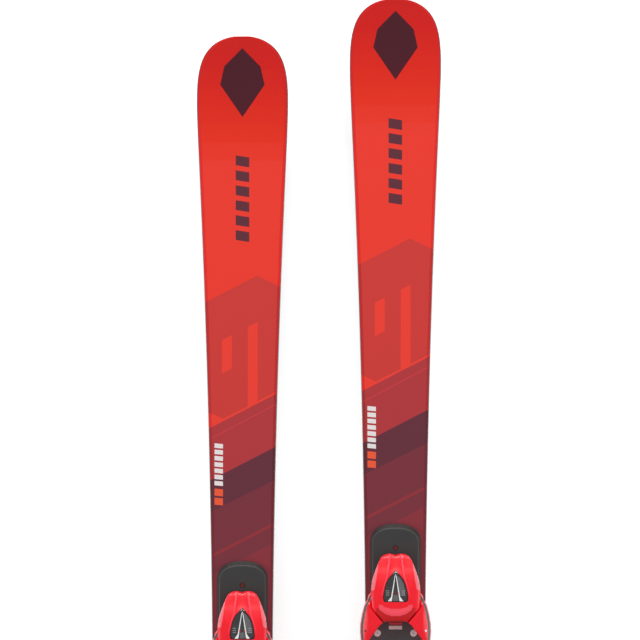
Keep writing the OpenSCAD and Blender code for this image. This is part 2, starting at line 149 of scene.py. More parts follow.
# the top sheet's colours, each with the darker copy painted as shade on its bevelled edge
SHEET = [
    ("field", (236, 62, 50), (226, 42, 32)),
    ("upper_band", (205, 62, 58), (190, 44, 44)),
    ("middle_band", (178, 59, 63), (163, 44, 46)),
    ("dark_band", (103, 51, 63), (96, 38, 46)),
    ("plum_band", (124, 54, 64), (115, 34, 46)),
    ("rear_band", (140, 54, 63), (120, 38, 48)),
    ("bright", (237, 66, 54), (226, 42, 32)),
    ("fine_line", (202, 62, 68), (180, 52, 56)),
    ("soft_line", (148, 54, 61), (126, 38, 46)),
    ("mark", (87, 33, 49), (80, 28, 42)),
    ("bars", (98, 51, 61), (98, 51, 61)),
    ("white", (232, 226, 226), (232, 226, 226)),
    ("orange", (238, 92, 60), (238, 92, 60)),
]
# the field is painted deeper towards the tip in small steps, as painted shade where the tip tilts
# away from the light
TIP_SHADE_STEPS = 6
for i in range(TIP_SHADE_STEPS):
    shade_depth = (i + 1) / TIP_SHADE_STEPS
    SHEET.append((f"tip_{i}", (236, 62 - 20 * shade_depth, 50 - 34 * shade_depth),
                  (226, 42 - 12 * shade_depth, 32 - 18 * shade_depth)))
sheet_looks = []
for sheet_name, flat, edge_shade in SHEET:
    sheet_looks += [lacquer(f"sheet_{sheet_name}", *flat),
                    lacquer(f"sheet_{sheet_name}_edge", *edge_shade)]
sheet_side = material("sheet_side", paint(60, 24, 30), rough=0.5)
INK = {row[0]: 2 * i for i, row in enumerate(SHEET)}

# the grey plate top, a dark brown painted as shade on the plate's bevel, and a lighter grey
# painted as a highlight along the bevel's top edge
plate_grey = material("plate_grey", paint(64, 64, 64, 0.022), rough=0.55, grain=1800, relief=0.05)
plate_rim_painted_shade = material("plate_rim_painted_shade", paint(34, 20, 21, 0.004), rough=0.6, grain=1800, relief=0.04)
plate_line_painted_highlight = material("plate_line_painted_highlight", paint(74, 74, 74, 0.02), rough=0.5, grain=1800, relief=0.04)
shell_red = material("shell_red", paint(252, 30, 52), rough=0.36, coat=0.1, grain=400, relief=0.01)
# a lighter red painted as highlight, a darker red painted as shade on the toe and used as darker
# print on the heel, and a pale red painted as sheen
shell_painted_highlight = material("shell_painted_highlight", paint(255, 84, 100), rough=0.32, coat=0.1, grain=400,
                       relief=0.01)
shell_dark_and_shade = material("shell_dark_and_shade", paint(205, 22, 42), rough=0.4, grain=400, relief=0.01)
shell_painted_sheen = material("shell_painted_sheen", paint(246, 120, 130), rough=0.3, coat=0.1, grain=400,
                     relief=0.01)
stripe_grey = material("stripe_grey", paint(92, 96, 97), rough=0.45, grain=1500)
# a grey painted as a reflection on the window glass, also used for a grey patch between the
# arrow's legs
glass_grey_and_reflection = material("glass_grey_and_reflection", paint(104, 104, 106), rough=0.2, coat=0.3, grain=900)
scale_grey = material("scale_grey", paint(150, 150, 150), rough=0.4, grain=1500)
# painted shine: the screw heads are plain white rather than metal, so they stay bright in shade
screw_painted_shine = material("screw_painted_shine", (0.98, 0.98, 0.98, 1), rough=0.3, metal=0.0, grain=1200,
                      relief=0.01)
black_moulded = material("black_moulded", paint(58, 58, 60, 0.02), rough=0.5, grain=2200,
                         relief=0.06)
chassis_black = material("chassis_black", paint(98, 100, 102, 0.02), rough=0.5, grain=2200,
                         relief=0.06)
label_white = material("label_white", (0.97, 0.97, 0.97, 1), rough=0.5, grain=1500)
label_red = material("label_red", (0.9, 0.06, 0.08, 1), rough=0.5, grain=1500)
hole_red = material("hole_red", (0.95, 0.16, 0.16, 1), rough=0.5, grain=1500)
smoke = material("smoke", (0.12, 0.12, 0.13, 1), rough=0.05, coat=0.5, grain=300, clear=0.75)
white_mark = material("white_mark", paint(240, 240, 240), rough=0.45, grain=1500)
red_mark = material("red_mark", paint(214, 30, 40), rough=0.4, grain=1500)
steel = material("steel", (0.62, 0.62, 0.64, 1), rough=0.28, metal=1, grain=1200,
                 relief=0.01, stretch=(1, 0.08, 1))
spring_steel = material("spring_steel", (0.35, 0.35, 0.37, 1), rough=0.35, metal=1, grain=2500)
edge_steel = material("edge_steel", (0.55, 0.56, 0.58, 1), rough=0.32, metal=1, grain=1500,
                      relief=0.01, stretch=(1, 0.03, 1))
base_black = material("base_black", (0.012, 0.012, 0.013, 1), rough=0.42, grain=3500,
                      relief=0.02, stretch=(1, 0.05, 1))
laminate = material("laminate", (0.6, 0.58, 0.5, 1), rough=0.4, metal=0.8, grain=2000)
wood = material("wood", (0.52, 0.34, 0.18, 1), rough=0.7, grain=300, relief=0.1,
                stretch=(1, 0.04, 1))
sidewall_black = material("sidewall_black", (0.02, 0.02, 0.022, 1), rough=0.45, grain=900,
                          relief=0.05, stretch=(1, 0.1, 1))
rest_grey = material("rest_grey", paint(205, 205, 208), rough=0.3, grain=900, stretch=(0.1, 1, 1))


# ---------------------------------------------------------------- mesh tools
def piece(name, bm, looks, side, body, nodes=(), bevel=0.0, sharp=35):
    """Makes the body in bm, drawn in its ski's frame in mm, and lets it ride on a body."""
    sign = -1 if side == "left" else 1
    bmesh.ops.recalc_face_normals(bm, faces=bm.faces)
    for p in bm.verts:
        p.co = Vector((p.co.x + sign * PAIR_GAP / 2, p.co.y + sign * STAGGER / 2, p.co.z)) / 1000
    mesh = bpy.data.meshes.new(f"{side}_{name}_mesh")
    bm.to_mesh(mesh)
    bm.free()
    for look in looks:
        mesh.materials.append(look)
    mesh.polygons.foreach_set("use_smooth", [True] * len(mesh.polygons))
    mesh.set_sharp_from_angle(angle=math.radians(sharp))
    made = bpy.data.objects.new(f"{side}_{name}_look", mesh)
    scene.collection.objects.link(made)
    if bevel:
        soften(made, bevel)
    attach(made, f"{side}_{body}")
    if nodes:
        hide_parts(*[f"{side}_{n}" for n in nodes])
    return made


def soften(made, width):
    """Rounds the sharp edges of a body by width, in mm."""
    rounding = made.modifiers.new("rounding", "BEVEL")
    rounding.width = width / 1000
    rounding.segments = 2
    rounding.limit_method = "ANGLE"
    rounding.angle_limit = math.radians(32)
    rounding.harden_normals = True


def sweep(stations, section):
    """A body through the same cross section at each v; a face's part is its section edge."""
    bm = bmesh.new()
    part = bm.faces.layers.int.new("part")
    rings = [[bm.verts.new((x, at(v), z)) for x, z in section(v)] for v in stations]
    n = len(rings[0])
    for a, b in zip(rings, rings[1:]):
        for i in range(n):
            bm.faces.new((a[i], b[i], b[(i + 1) % n], a[(i + 1) % n]))[part] = i
    for end in (rings[0], rings[-1]):
        bm.faces.new(end)[part] = -1
    bmesh.ops.recalc_face_normals(bm, faces=bm.faces)
    return bm


def imprint(bm, outline, wanted, ink):
    """Cuts the wanted faces along a convex plan outline of (x, v) points; inks those inside."""
    pts = [(x, at(v)) for x, v in outline]
    x_lo, x_hi = min(p[0] for p in pts), max(p[0] for p in pts)
    y_lo, y_hi = min(p[1] for p in pts), max(p[1] for p in pts)

    def touched():
        found = []
        for f in bm.faces:
            if not wanted(f):
                continue
            ys = [p.co.y for p in f.verts]
            if max(ys) < y_lo or min(ys) > y_hi:
                continue
            xs = [p.co.x for p in f.verts]
            if max(xs) >= x_lo and min(xs) <= x_hi:
                found.append(f)
        return found

    edges = list(zip(pts, pts[1:] + pts[:1]))
    for (x0, y0), (x1, y1) in edges:
        faces = touched()
        # each edge and point once, in an order that is the same at every run
        geom = faces + list(dict.fromkeys(e for f in faces for e in f.edges)) + list(
            dict.fromkeys(p for f in faces for p in f.verts))
        bmesh.ops.bisect_plane(bm, geom=geom, dist=1e-4, plane_co=(x0, y0, 0),
                               plane_no=(y1 - y0, x0 - x1, 0))
        bm.normal_update()
    turn = sum(x0 * y1 - x1 * y0 for (x0, y0), (x1, y1) in edges)
    inside = []
    for f in touched():
        c = f.calc_center_median()
        if all(((x1 - x0) * (c.y - y0) - (y1 - y0) * (c.x - x0)) * turn > 0
               for (x0, y0), (x1, y1) in edges):
            inside.append(f)
            f.material_index = ink
    return inside


def sink(bm, faces, depth, ink=None):
    """Pushes a patch of faces down by depth with walls round it."""
    made = bmesh.ops.extrude_face_region(bm, geom=faces)["geom"]
    bmesh.ops.translate(bm, vec=(0, 0, -depth),
                        verts=[g for g in made if isinstance(g, bmesh.types.BMVert)])
    if ink is not None:
        for g in made:
            if isinstance(g, bmesh.types.BMFace):
                g.material_index = ink
    bmesh.ops.delete(bm, geom=faces, context="FACES")
    bm.normal_update()


def carved(bm, *cutters, solver="EXACT"):
    """The body less the cutters, which are bodies of their own.

    The heel's pillow bodies are cut with the manifold solver: the exact one loses them.
    """
    stock = []
    for b in (bm, *cutters):
        mesh = bpy.data.meshes.new("stock")
        b.to_mesh(mesh)
        b.free()
        stock.append(bpy.data.objects.new("stock", mesh))
        scene.collection.objects.link(stock[-1])
    for cutter in stock[1:]:
        cut = stock[0].modifiers.new("cut", "BOOLEAN")
        cut.operation, cut.solver, cut.object = "DIFFERENCE", solver, cutter
    bpy.context.view_layer.update()
    graph = bpy.context.evaluated_depsgraph_get()
    result = bpy.data.meshes.new_from_object(stock[0].evaluated_get(graph))
    out = bmesh.new()
    out.from_mesh(result)
    for ob in stock:
        mesh = ob.data
        bpy.data.objects.remove(ob)
        bpy.data.meshes.remove(mesh)
    bpy.data.meshes.remove(result)
    out.normal_update()
    return out


def facing_up(f):
    return f.normal.z > 0.3


def mirrored(half):
    """The whole outline from its right half."""
    return list(half) + [(-x, v) for x, v in reversed(half) if x > 0]


def rounded(outline, passes=1, longest=3.0):
    """An outline with its corners cut a little and its long edges divided."""
    for _ in range(passes):
        cut = []
        for (x0, v0), (x1, v1) in zip(outline, outline[1:] + outline[:1]):
            k = min(0.25, 1.0 / max(0.01, math.hypot(x1 - x0, v1 - v0)))
            cut += [(x0 + k * (x1 - x0), v0 + k * (v1 - v0)),
                    (x1 + k * (x0 - x1), v1 + k * (v0 - v1))]
        outline = cut
    fine = []
    for (x0, v0), (x1, v1) in zip(outline, outline[1:] + outline[:1]):
        n = max(1, math.ceil(math.hypot(x1 - x0, v1 - v0) / longest))
        fine += [(x0 + (x1 - x0) * i / n, v0 + (v1 - v0) * i / n) for i in range(n)]
    return fine


SHRINK = (1.0, 0.985, 0.96, 0.92, 0.86, 0.78, 0.68, 0.56, 0.43, 0.29, 0.14, 0.0)


def dome(bm, outline, middle, floor, roof, drop=2.5):
    """A closed body: a wall up from floor, then rings that shrink to middle(x, v) on the roof."""
    fall = {1.0: drop, 0.985: 0.45 * drop, 0.96: 0.12 * drop}
    rings = [[bm.verts.new((x, at(v), floor)) for x, v in outline]]
    for r in SHRINK:
        ring = []
        for x, v in outline:
            mx, mv = middle(x, v)
            rx, rv = mx + (x - mx) * r, mv + (v - mv) * r
            ring.append(bm.verts.new((rx, at(rv), roof(rx, rv) - fall.get(r, 0))))
        rings.append(ring)
    n = len(outline)
    for a, b in zip(rings, rings[1:]):
        for i in range(n):
            bm.faces.new((a[i], a[(i + 1) % n], b[(i + 1) % n], b[i]))
    bm.faces.new(rings[0])
    bmesh.ops.remove_doubles(bm, verts=rings[-1] + rings[-2], dist=0.02)
    bmesh.ops.dissolve_degenerate(bm, dist=0.001, edges=bm.edges)
    bmesh.ops.recalc_face_normals(bm, faces=bm.faces)
    bm.normal_update()


def prism(bm, outline, z0, z1):
    low = [bm.verts.new((x, at(v), z0)) for x, v in outline]
    top = [bm.verts.new((x, at(v), z1)) for x, v in outline]
    n = len(outline)
    bm.faces.new(low)
    bm.faces.new(top)
    for i in range(n):
        bm.faces.new((low[i], low[(i + 1) % n], top[(i + 1) % n], top[i]))
    bmesh.ops.recalc_face_normals(bm, faces=bm.faces)
    bm.normal_update()


def turned(bm, profile, place, steps=32, axis="z"):
    """A turned body: profile is (radius, height) points, from one end of the axis to the other."""
    x0, v0, z0 = place
    rings = []
    for r, h in profile:
        ring = []
        for i in range(steps):
            a = 2 * math.pi * i / steps
            p = (r * math.cos(a), r * math.sin(a), h)
            if axis == "v":
                p = (p[0], -h, p[1])
            elif axis == "x":
                p = (h, p[0], p[1])
            ring.append(bm.verts.new((x0 + p[0], at(v0) + p[1], z0 + p[2])))
        rings.append(ring)
    for a, b in zip(rings, rings[1:]):
        for i in range(steps):
            bm.faces.new((a[i], a[(i + 1) % steps], b[(i + 1) % steps], b[i]))
    bm.faces.new(rings[0])
    bm.faces.new(rings[-1])
    bmesh.ops.recalc_face_normals(bm, faces=bm.faces)
    bm.normal_update()


def merged(bm, other):
    """Adds the other body to bm."""
    mesh = bpy.data.meshes.new("other")
    other.to_mesh(mesh)
    other.free()
    bm.from_mesh(mesh)
    bpy.data.meshes.remove(mesh)
    bm.normal_update()


def mirror_x(bm):
    """Adds the copy on the other side of the ski's centre line."""
    copied = bmesh.ops.duplicate(bm, geom=bm.verts[:] + bm.edges[:] + bm.faces[:])["geom"]
    fresh = [g for g in copied if isinstance(g, bmesh.types.BMVert)]
    bmesh.ops.transform(bm, matrix=Matrix.Scale(-1, 4, (1, 0, 0)), verts=fresh)


# ---------------------------------------------------------------- the ski's layers
STEPS = 220
STATIONS = [SKI_L / 2 * (1 - math.cos(math.pi * i / STEPS)) for i in range(STEPS + 1)]


def slab(w0, w1, z0, z1):
    return [(-w0, z0), (w0, z0), (w1, z1), (-w1, z1)]


def sheet_section(v):
    w, z = half_w(v) - 0.85, under(v) + thick(v) - 1.4
    return [(-w, z), (w, z), (w, z + 0.3), (w - 3.4, z + 1.4), (3.4 - w, z + 1.4), (-w, z + 0.3)]


def slant(v_left, v_right, x=60.0, reach=40.0):
    """The plan line through v_left at -reach and v_right at +reach, at x."""
    return v_left + (v_right - v_left) * (x + reach) / (2 * reach)


def band(top_left, top_right, low_left, low_right, x0=-60.0, x1=60.0):
    """A slanted band across the sheet, by its v at x = -40 and x = 40 above and below."""
    return [(x0, slant(top_left, top_right, x0)), (x1, slant(top_left, top_right, x1)),
            (x1, slant(low_left, low_right, x1)), (x0, slant(low_left, low_right, x0))]


def sheet_body():
    """The top sheet with its printed pattern cut into its faces."""
    bm = sweep(STATIONS, sheet_section)
    part = bm.faces.layers.int["part"]
    top = lambda f: f[part] in (2, 3, 4)

    def ink(outline, name):
        imprint(bm, outline, top, INK[name])

    end = 1760
    # painted shade on the tip, in steps
    for i in range(TIP_SHADE_STEPS):
        ink([(-60, -5), (60, -5), (60, 150 - 22 * i), (-60, 150 - 22 * i)], f"tip_{i}")
    ink([(-60, 329.8), (17.8, 290.2), (60, 310.3), (60, end), (-60, end)], "upper_band")
    ink(band(475.6, 434.3, end, end), "middle_band")
    ink(band(488.4, 446.2, 489.8, 447.6), "fine_line")
    ink([(-60, 447.6), (-23.6, 464.4), (-23.6, 467.2), (-60, 485.9)], "bright")
    ink([(-23.6, 464.4), (60, 421.7), (60, 424.1), (-23.6, 467.2)], "bright")
    ink(band(539.5, 498.4, end, end), "dark_band")
    ink(band(578.4, 538.4, end, end), "plum_band")
    ink(band(655, 614, end, end), "rear_band")
    ink(band(630.4, 589.6, 634.4, 593.6), "soft_line")
    # two bars with slanted ends on the upper band, one short and one long
    ink([(-25, 368.5), (-13, 362.4), (-13, 403), (-25, 409.2)], "bright")
    ink([(6.5, 352.5), (18.4, 346.4), (18.4, 443), (6.5, 449.1)], "bright")
    # a long six-sided mark on the tip
    ink([(0, 14), (22, 36), (27, 58), (0, 97), (-27, 58), (-22, 36)], "mark")
    # a column of slanted bars
    for i in range(6):
        v = 143.5 + 18.2 * i
        ink([(-8.3, v), (8.2, v + 2.6), (8.2, v + 14.6), (-8.3, v + 12)], "bars")
    # a column of small blocks beside the dark band
    for i in range(7):
        v = 494 + 7.6 * i
        ink([(-34, v), (-23.7, v + 1), (-23.7, v + 6.4), (-34, v + 5.4)], "white")
    for v in (549, 560):
        ink([(-34, v), (-23.7, v + 1), (-23.7, v + 9.6), (-34, v + 8.6)], "orange")
    # painted shade: the bevel faces take the darker copy of their colour; the sides and underside
    # take the side colour
    for f in bm.faces:
        if f[part] in (2, 4):
            f.material_index += 1
        elif f[part] != 3:
            f.material_index = len(sheet_looks)
    return bm


sheet_master = sheet_body()
for side in SIDES:
    piece("top_sheet", sheet_master.copy(), sheet_looks + [sheet_side], side, "ski",
          ["top_sheet"], sharp=12)
    piece("running_base", sweep(STATIONS, lambda v: slab(
        half_w(v) - 2.3, half_w(v) - 2.3, under(v), under(v) + 1.6)),
        [base_black], side, "ski", ["running_base"])
    rails = sweep(STATIONS, lambda v: [(half_w(v) - 2.2, under(v)), (half_w(v) - 0.05, under(v)),
                                       (half_w(v) - 0.05, under(v) + 1.6),
                                       (half_w(v) - 2.2, under(v) + 1.6)])
    mirror_x(rails)
    piece("steel_edges", rails, [edge_steel], side, "ski", ["steel_edges"])
    sheets = sweep(STATIONS, lambda v: slab(half_w(v) - 0.05, half_w(v) - 0.05,
                                            under(v) + 1.6, under(v) + 2.2))
    upper = sweep(STATIONS, lambda v: slab(half_w(v) - 0.85, half_w(v) - 0.85,
                                           under(v) + thick(v) - 2, under(v) + thick(v) - 1.4))
    merged(sheets, upper)
    piece("laminates", sheets, [laminate], side, "ski", ["laminates"])
    piece("sidewalls", sweep(STATIONS, lambda v: slab(
        half_w(v) - 0.1, half_w(v) - 0.8, under(v) + 2.2, under(v) + thick(v) - 2)),
        [sidewall_black], side, "ski", ["sidewalls"])


# ---------------------------------------------------------------- plates and their screws
def cap(v0, length, sign, steps=18):
    return [(PLATE_W / 2 * math.sin(a) ** 0.91, v0 + sign * length * (1 - math.cos(a) ** 0.91))
            for a in [math.pi / 2 * i / steps for i in range(steps)] + [math.pi / 2 - 1e-4]]


# each pair's x and v and the height of its seat, and the profile of one screw
SCREWS = [(22.1, 770, FLOOR_Z), (21, 862, PLATE_T), (21, 1016, PLATE_T), (23, 1250, PLATE_T)]
SCREW = [(2.7, -11), (2.7, -2.5), (3.6, -2.3), (4.4, -1.2), (4.3, -0.5), (3.7, -0.1), (3.4, 0)]
SCREW_SEAT_R, SEAT_DEPTH, HOLE_V = 4.6, 2.4, 666.6
FRONT_PLATE, REAR_PLATE = (637, 884, 20.7, 8), (1000, 1265, 8, 20.7)


def plate(bm, v0, v1, len0, len1):
    """A plate with rounded ends: steep bevel round its rim, and flat on top."""
    outline = mirrored(cap(v0, len0, 1) + list(reversed(cap(v1, len1, -1))))
    spine0, spine1 = v0 + 30, v1 - 30
    rings = []
    for inset, z in ((0, 0), (0, PLATE_T - 3.6), (3.4, PLATE_T - 0.5), (4.2, PLATE_T - 0.1),
                     (5.4, PLATE_T)):
        ring = []
        for x, v in outline:
            mv = min(spine1, max(spine0, v))
            far = math.hypot(x, v - mv)
            # the bevel is wide at the rounded ends and narrow along the sides
            k = 1 - inset * (0.5 + abs(v - mv) / far) / far
            ring.append(bm.verts.new((x * k, at(mv + (v - mv) * k), DECK + z)))
        rings.append(ring)
    n = len(outline)
    # the wall and the bevel are painted dark as shade, and a lighter line is painted as a
    # highlight where the bevel meets the top
    for look, low, high in zip((1, 1, 3, 0), rings, rings[1:]):
        for i in range(n):
            f = bm.faces.new((low[i], low[(i + 1) % n], high[(i + 1) % n], high[i]))
            f.material_index = look
    bm.faces.new(rings[0])
    bm.faces.new(rings[-1])


def circle(x, v, r, steps=20):
    return [(x + r * math.cos(2 * math.pi * i / steps), v + r * math.sin(2 * math.pi * i / steps))
            for i in range(steps)]


for side in SIDES:
    bm = bmesh.new()
    plate(bm, *FRONT_PLATE)
    plate(bm, *REAR_PLATE)
    bmesh.ops.recalc_face_normals(bm, faces=bm.faces)
    bm.normal_update()
    flat_top = lambda f: f.normal.z > 0.99 and f.calc_center_median().z > DECK + 7.9
    # a dark ring painted as shade round the front hole
    imprint(bm, circle(0, HOLE_V, 3.6), flat_top, 1)
    sink(bm, imprint(bm, circle(0, HOLE_V, 2.6), flat_top, 1), 4.2, 2)
    for x, v, z in SCREWS[1:]:
        for sx in (-x, x):
            sink(bm, imprint(bm, circle(sx, v, SCREW_SEAT_R), flat_top, 0), SEAT_DEPTH)
    piece("binding_plates", bm, [plate_grey, plate_rim_painted_shade, hole_red, plate_line_painted_highlight], side, "ski",
          ["binding_plates"], sharp=30)

    bm = bmesh.new()
    for x, v, z in SCREWS:
        for sx in (-x, x):
            turned(bm, SCREW, (sx, v, DECK + z))
            crown = lambda f: f.normal.z > 0.99
            for w, h in ((2.6, 0.55), (0.55, 2.6)):
                slot_faces = imprint(bm, [(sx - w, v - h), (sx + w, v - h), (sx + w, v + h),
                                          (sx - w, v + h)], crown, 0)
                sink(bm, slot_faces, 1.2, 1)
    piece("binding_screws", bm, [screw_painted_shine, steel], side, "ski", ["binding_screws"])

# ---------------------------------------------------------------- toe piece
HOUSING = mirrored([(0, 674.7), (4, 673.6), (8, 673), (13, 674.3), (17.3, 677), (21, 684.5),
                    (24.7, 693.9), (27.5, 702.3), (29.9, 711.5), (30.8, 719), (30.8, 728),
                    (30.4, 737.9), (14.5, 756.5), (13, 755.6), (0, 755)])
WINDOW = mirrored([(0, 693), (5.5, 699), (8.5, 702.5), (10.5, 706), (12.5, 711), (14, 717),
                   (14.8, 722), (15.3, 727), (14.8, 729.6), (13.4, 731.2), (11, 731.6),
                   (0, 731.6)])
# the roof's height along v in the middle, and across x at its highest
LENGTHWISE = [(672, 24.5), (675, 27), (678, 28.6), (684, 30.4), (690, 32.2), (697, 34.6),
              (705, 36.9), (712, 38.6), (720, 39.8), (728, 40.4), (735, 40.5), (743, 40.1),
              (750, 39.3), (758, 36.8)]
CROSSWISE = [(0, 41), (6, 40.8), (12, 40.3), (18, 39.7), (22, 38.9), (26, 37.8), (29, 36.2),
             (32, 33.8)]


def housing_roof(x, v):
    a, b = along(LENGTHWISE, v), along(CROSSWISE, abs(x))
    z = (a ** -24 + b ** -24) ** (-1 / 24)
    # two ridges from the nose to the sides of the window, and the valley between them
    ridge = along([(674, 8.5), (690, 9.5), (700, 11.5), (712, 16), (728, 19)], v)
    fade = 1 - smooth((v - 722) / 14)
    z += 0.9 * fade * math.exp(-((abs(x) - ridge) / 2.2) ** 2)
    z -= 0.8 * fade * math.exp(-(x / 4.5) ** 2) * (1 - smooth((v - 690) / 10))
    # a raised lip behind the window
    z += 0.7 * math.exp(-((v - (746 - 0.02 * x * x)) / 1.8) ** 2) * (1 - smooth((abs(x) - 14) / 8))
    return DECK + z - 0.6


def housing_middle(x, v):
    return 0.0, min(742.0, max(692.0, v))


WING_TOP = [(31.3, 730), (35, 730), (38.2, 735.8), (41, 747), (42.9, 758), (43.3, 767.5),
            (42.4, 778.5), (40.2, 787), (37.6, 790), (35, 788.6), (33.6, 783), (31.2, 776),
            (24.7, 767.7), (19.2, 760), (15.2, 757.2), (31.3, 738.4)]
WING_ROOT = [(29.6, 719.8), (33.2, 726.5), (36.2, 734.8), (36, 745), (26, 756), (17.6, 756.4),
             (23.2, 748.2)]
WING_OUTER = [(30.2, 720.4), (33.4, 726.5)] + WING_TOP[2:8]
WING_Z, WING_SLOT_Z, BARREL_TOP, OPENING_Z = 14, 33.6, 31.3, 28
TOE_PIN_X, TOE_PIN_V, PIN_HOLE_R = 27, 727, 3.1


def wing_roof(x, v):
    a = along([(730, 33.5), (734, 37.6), (745, 39.3), (765, 38.4), (781, 35.4), (792, 29.5)], v)
    b = along([(15, 40.5), (26, 40.3), (33, 38.4), (40, 33.8), (44, 27)], x)
    return DECK + (a ** -24 + b ** -24) ** (-1 / 24) - 0.2


for side in SIDES:
    bm = bmesh.new()
    dome(bm, rounded(HOUSING, 1, 2.0), housing_middle, DECK + FLOOR_Z + 0.4, housing_roof, 2.8)
    # room for the screw, the barrel, the two wings and the window
    bore, room, opening = bmesh.new(), bmesh.new(), bmesh.new()
    turned(bore, [(5.2, -8), (5.2, 25)], (0, 676, DECK + TOE_AXIS_Z), axis="v")
    prism(room, [(-13.9, 699.5), (13.9, 699.5), (13.9, 752.5), (-13.9, 752.5)],
          DECK + 10, DECK + BARREL_TOP)
    prism(opening, WINDOW, DECK + OPENING_Z, DECK + 60)
    slots = [bmesh.new(), bmesh.new()]
    for s, wing_slot in zip((-1, 1), slots):
        prism(wing_slot, [(s * 13.8, 708), (s * 40, 708), (s * 40, 770), (s * 13.8, 770)],
              DECK + 10, DECK + WING_SLOT_Z)
    bm = carved(bm, bore, room, opening, *slots)
    for f in bm.faces:
        c = f.calc_center_median()
        upright_face = abs(f.normal.z) < 0.2 and c.z > DECK + OPENING_Z
        if upright_face and abs(c.x) < 15.5 and at(732) < c.y < at(692):
            f.material_index = 2
    # a crescent painted as a highlight behind the window, and painted shade on the slope after it
    imprint(bm, [(-24, 739), (24, 739), (24, 760), (-24, 760)], facing_up, 3)
    imprint(bm, [(-21, 735), (21, 735), (19.5, 741), (13, 746), (5, 748.6), (-5, 748.6),
                 (-13, 746), (-19.5, 741)], facing_up, 4)
    imprint(bm, [(-18, 733), (18, 733), (14, 737.5), (6, 739.6), (-6, 739.6), (-14, 737.5)],
            facing_up, 0)
    for s in (-1, 1):
        # painted highlights along the edges of the two ridges
        for a, b, c, d, v0, v1 in ((5.4, 8.0, 7.6, 9.6, 674, 688), (7.6, 9.6, 9.4, 11.0, 688, 700),
                                   (9.4, 11.0, 13.0, 14.0, 700, 710),
                                   (13.0, 14.0, 16.8, 17.4, 710, 724)):
            imprint(bm, [(s * a, v0), (s * b, v0), (s * d, v1), (s * c, v1)], facing_up, 4)
        # painted reflection of the side light on facets along the flanks, widening to the wings
        imprint(bm, [(s * 21, 684), (s * 33, 712), (s * 33, 718), (s * 25.2, 716.5),
                     (s * 23.4, 704), (s * 21.2, 692)], lambda f: f.normal.z > 0.15, 1)
    piece("toe_housing", bm, [shell_red, shell_painted_sheen, black_moulded, shell_dark_and_shade, shell_painted_highlight], side,
          "ski", ["toe_housing"], sharp=40)

    # the window: a lens with a printed arrow and a scale
    bm = bmesh.new()
    lens = [(x * 0.97, 712 + (v - 712) * 0.975) for x, v in WINDOW]
    dome(bm, rounded(lens, 0, 1.5), lambda x, v: (0.0, min(724.0, max(704.0, v))),
         DECK + BARREL_TOP + 0.1, lambda x, v: housing_roof(x, v) - 0.5, 0.6)
    # room under the glass for the mark
    room = bmesh.new()
    prism(room, [(-6, 706), (6, 706), (6, 733), (-6, 733)], DECK + 25, DECK + 34.4)
    bm = carved(bm, room)
    # a painted reflection on the right half of the glass, then a narrow arrow, its base and a
    # faint scale
    imprint(bm, [(1.0, 699), (5, 702), (9.5, 709), (11, 716), (11.5, 724), (5, 724)], facing_up, 2)
    for s in (-1, 1):
        imprint(bm, [(0, 697.4), (s * 1.0, 700), (s * 5.4, 725), (s * 3.9, 725)], facing_up, 1)
        imprint(bm, [(s * 3.9, 725), (s * 5.4, 725), (s * 9.4, 730.6), (s * 4.8, 730.6)],
                facing_up, 1)
        for i in range(3):
            v = 717.6 + 2.5 * i
            imprint(bm, [(s * 7.6, v), (s * 11.6, v), (s * 11.6, v + 0.8), (s * 7.6, v + 0.8)],
                    facing_up, 4)
        imprint(bm, [(s * 2.3, 720.4), (s * 3.7, 720.4), (s * 3.9, 722.4), (s * 2.5, 722.4)],
                facing_up, 3)
    imprint(bm, [(-2.4, 723), (2.4, 723), (3.4, 730.4), (-3.4, 730.4)], facing_up, 2)
    piece("toe_window", bm, [smoke, white_mark, glass_grey_and_reflection, red_mark, scale_grey], side, "ski",
          ["toe_window"], sharp=40)

    bm = bmesh.new()
    prism(bm, [(-1.6, 712), (1.6, 712), (5, 727), (2.6, 727), (0, 722), (-2.6, 727), (-5, 727)],
          DECK + 31.7, DECK + 34)
    piece("toe_indicator", bm, [red_mark], side, "toe_mark", ["toe_indicator"], 0.25)

    for hand, s in (("left", -1), ("right", 1)):
        bm = bmesh.new()
        dome(bm, rounded(WING_TOP, 1, 2.0), lambda x, v: (33.0, 758.0), DECK + WING_Z, wing_roof,
             2.0)
        root, boss = bmesh.new(), bmesh.new()
        pin_foot = (TOE_PIN_X, TOE_PIN_V, DECK + WING_Z)
        prism(root, WING_ROOT, DECK + WING_Z + 0.1, DECK + 32.6)
        turned(boss, [(6.2, 0), (6.6, 0.5), (6.6, 18.2), (6.1, 19)], pin_foot)
        for shell in (root, boss):
            pin_hole = bmesh.new()
            turned(pin_hole, [(PIN_HOLE_R, -2), (PIN_HOLE_R, 30)], pin_foot)
            merged(bm, carved(shell, pin_hole))
        # a grey stripe along the wing's outer edge, with a strip painted as a highlight outside it
        for (x0, v0), (x1, v1) in zip(WING_OUTER, WING_OUTER[1:]):
            imprint(bm, [(x0 + 1, v0), (x1 + 1, v1), (x1 - 4.0, v1), (x0 - 4.0, v0)], facing_up, 3)
            imprint(bm, [(x0 - 1.1, v0), (x1 - 1.1, v1), (x1 - 3.8, v1), (x0 - 3.8, v0)],
                    facing_up, 1)
        rivet = len(bm.faces)
        turned(bm, [(1.4, -1.5), (1.4, 0.1), (0.8, 0.4)],
               (36.5, 766.5, wing_roof(36.5, 766.5)), 16)
        bm.faces.ensure_lookup_table()
        for f in bm.faces[rivet:]:
            f.material_index = 2
        if s < 0:
            bmesh.ops.transform(bm, matrix=Matrix.Scale(-1, 4, (1, 0, 0)), verts=bm.verts)
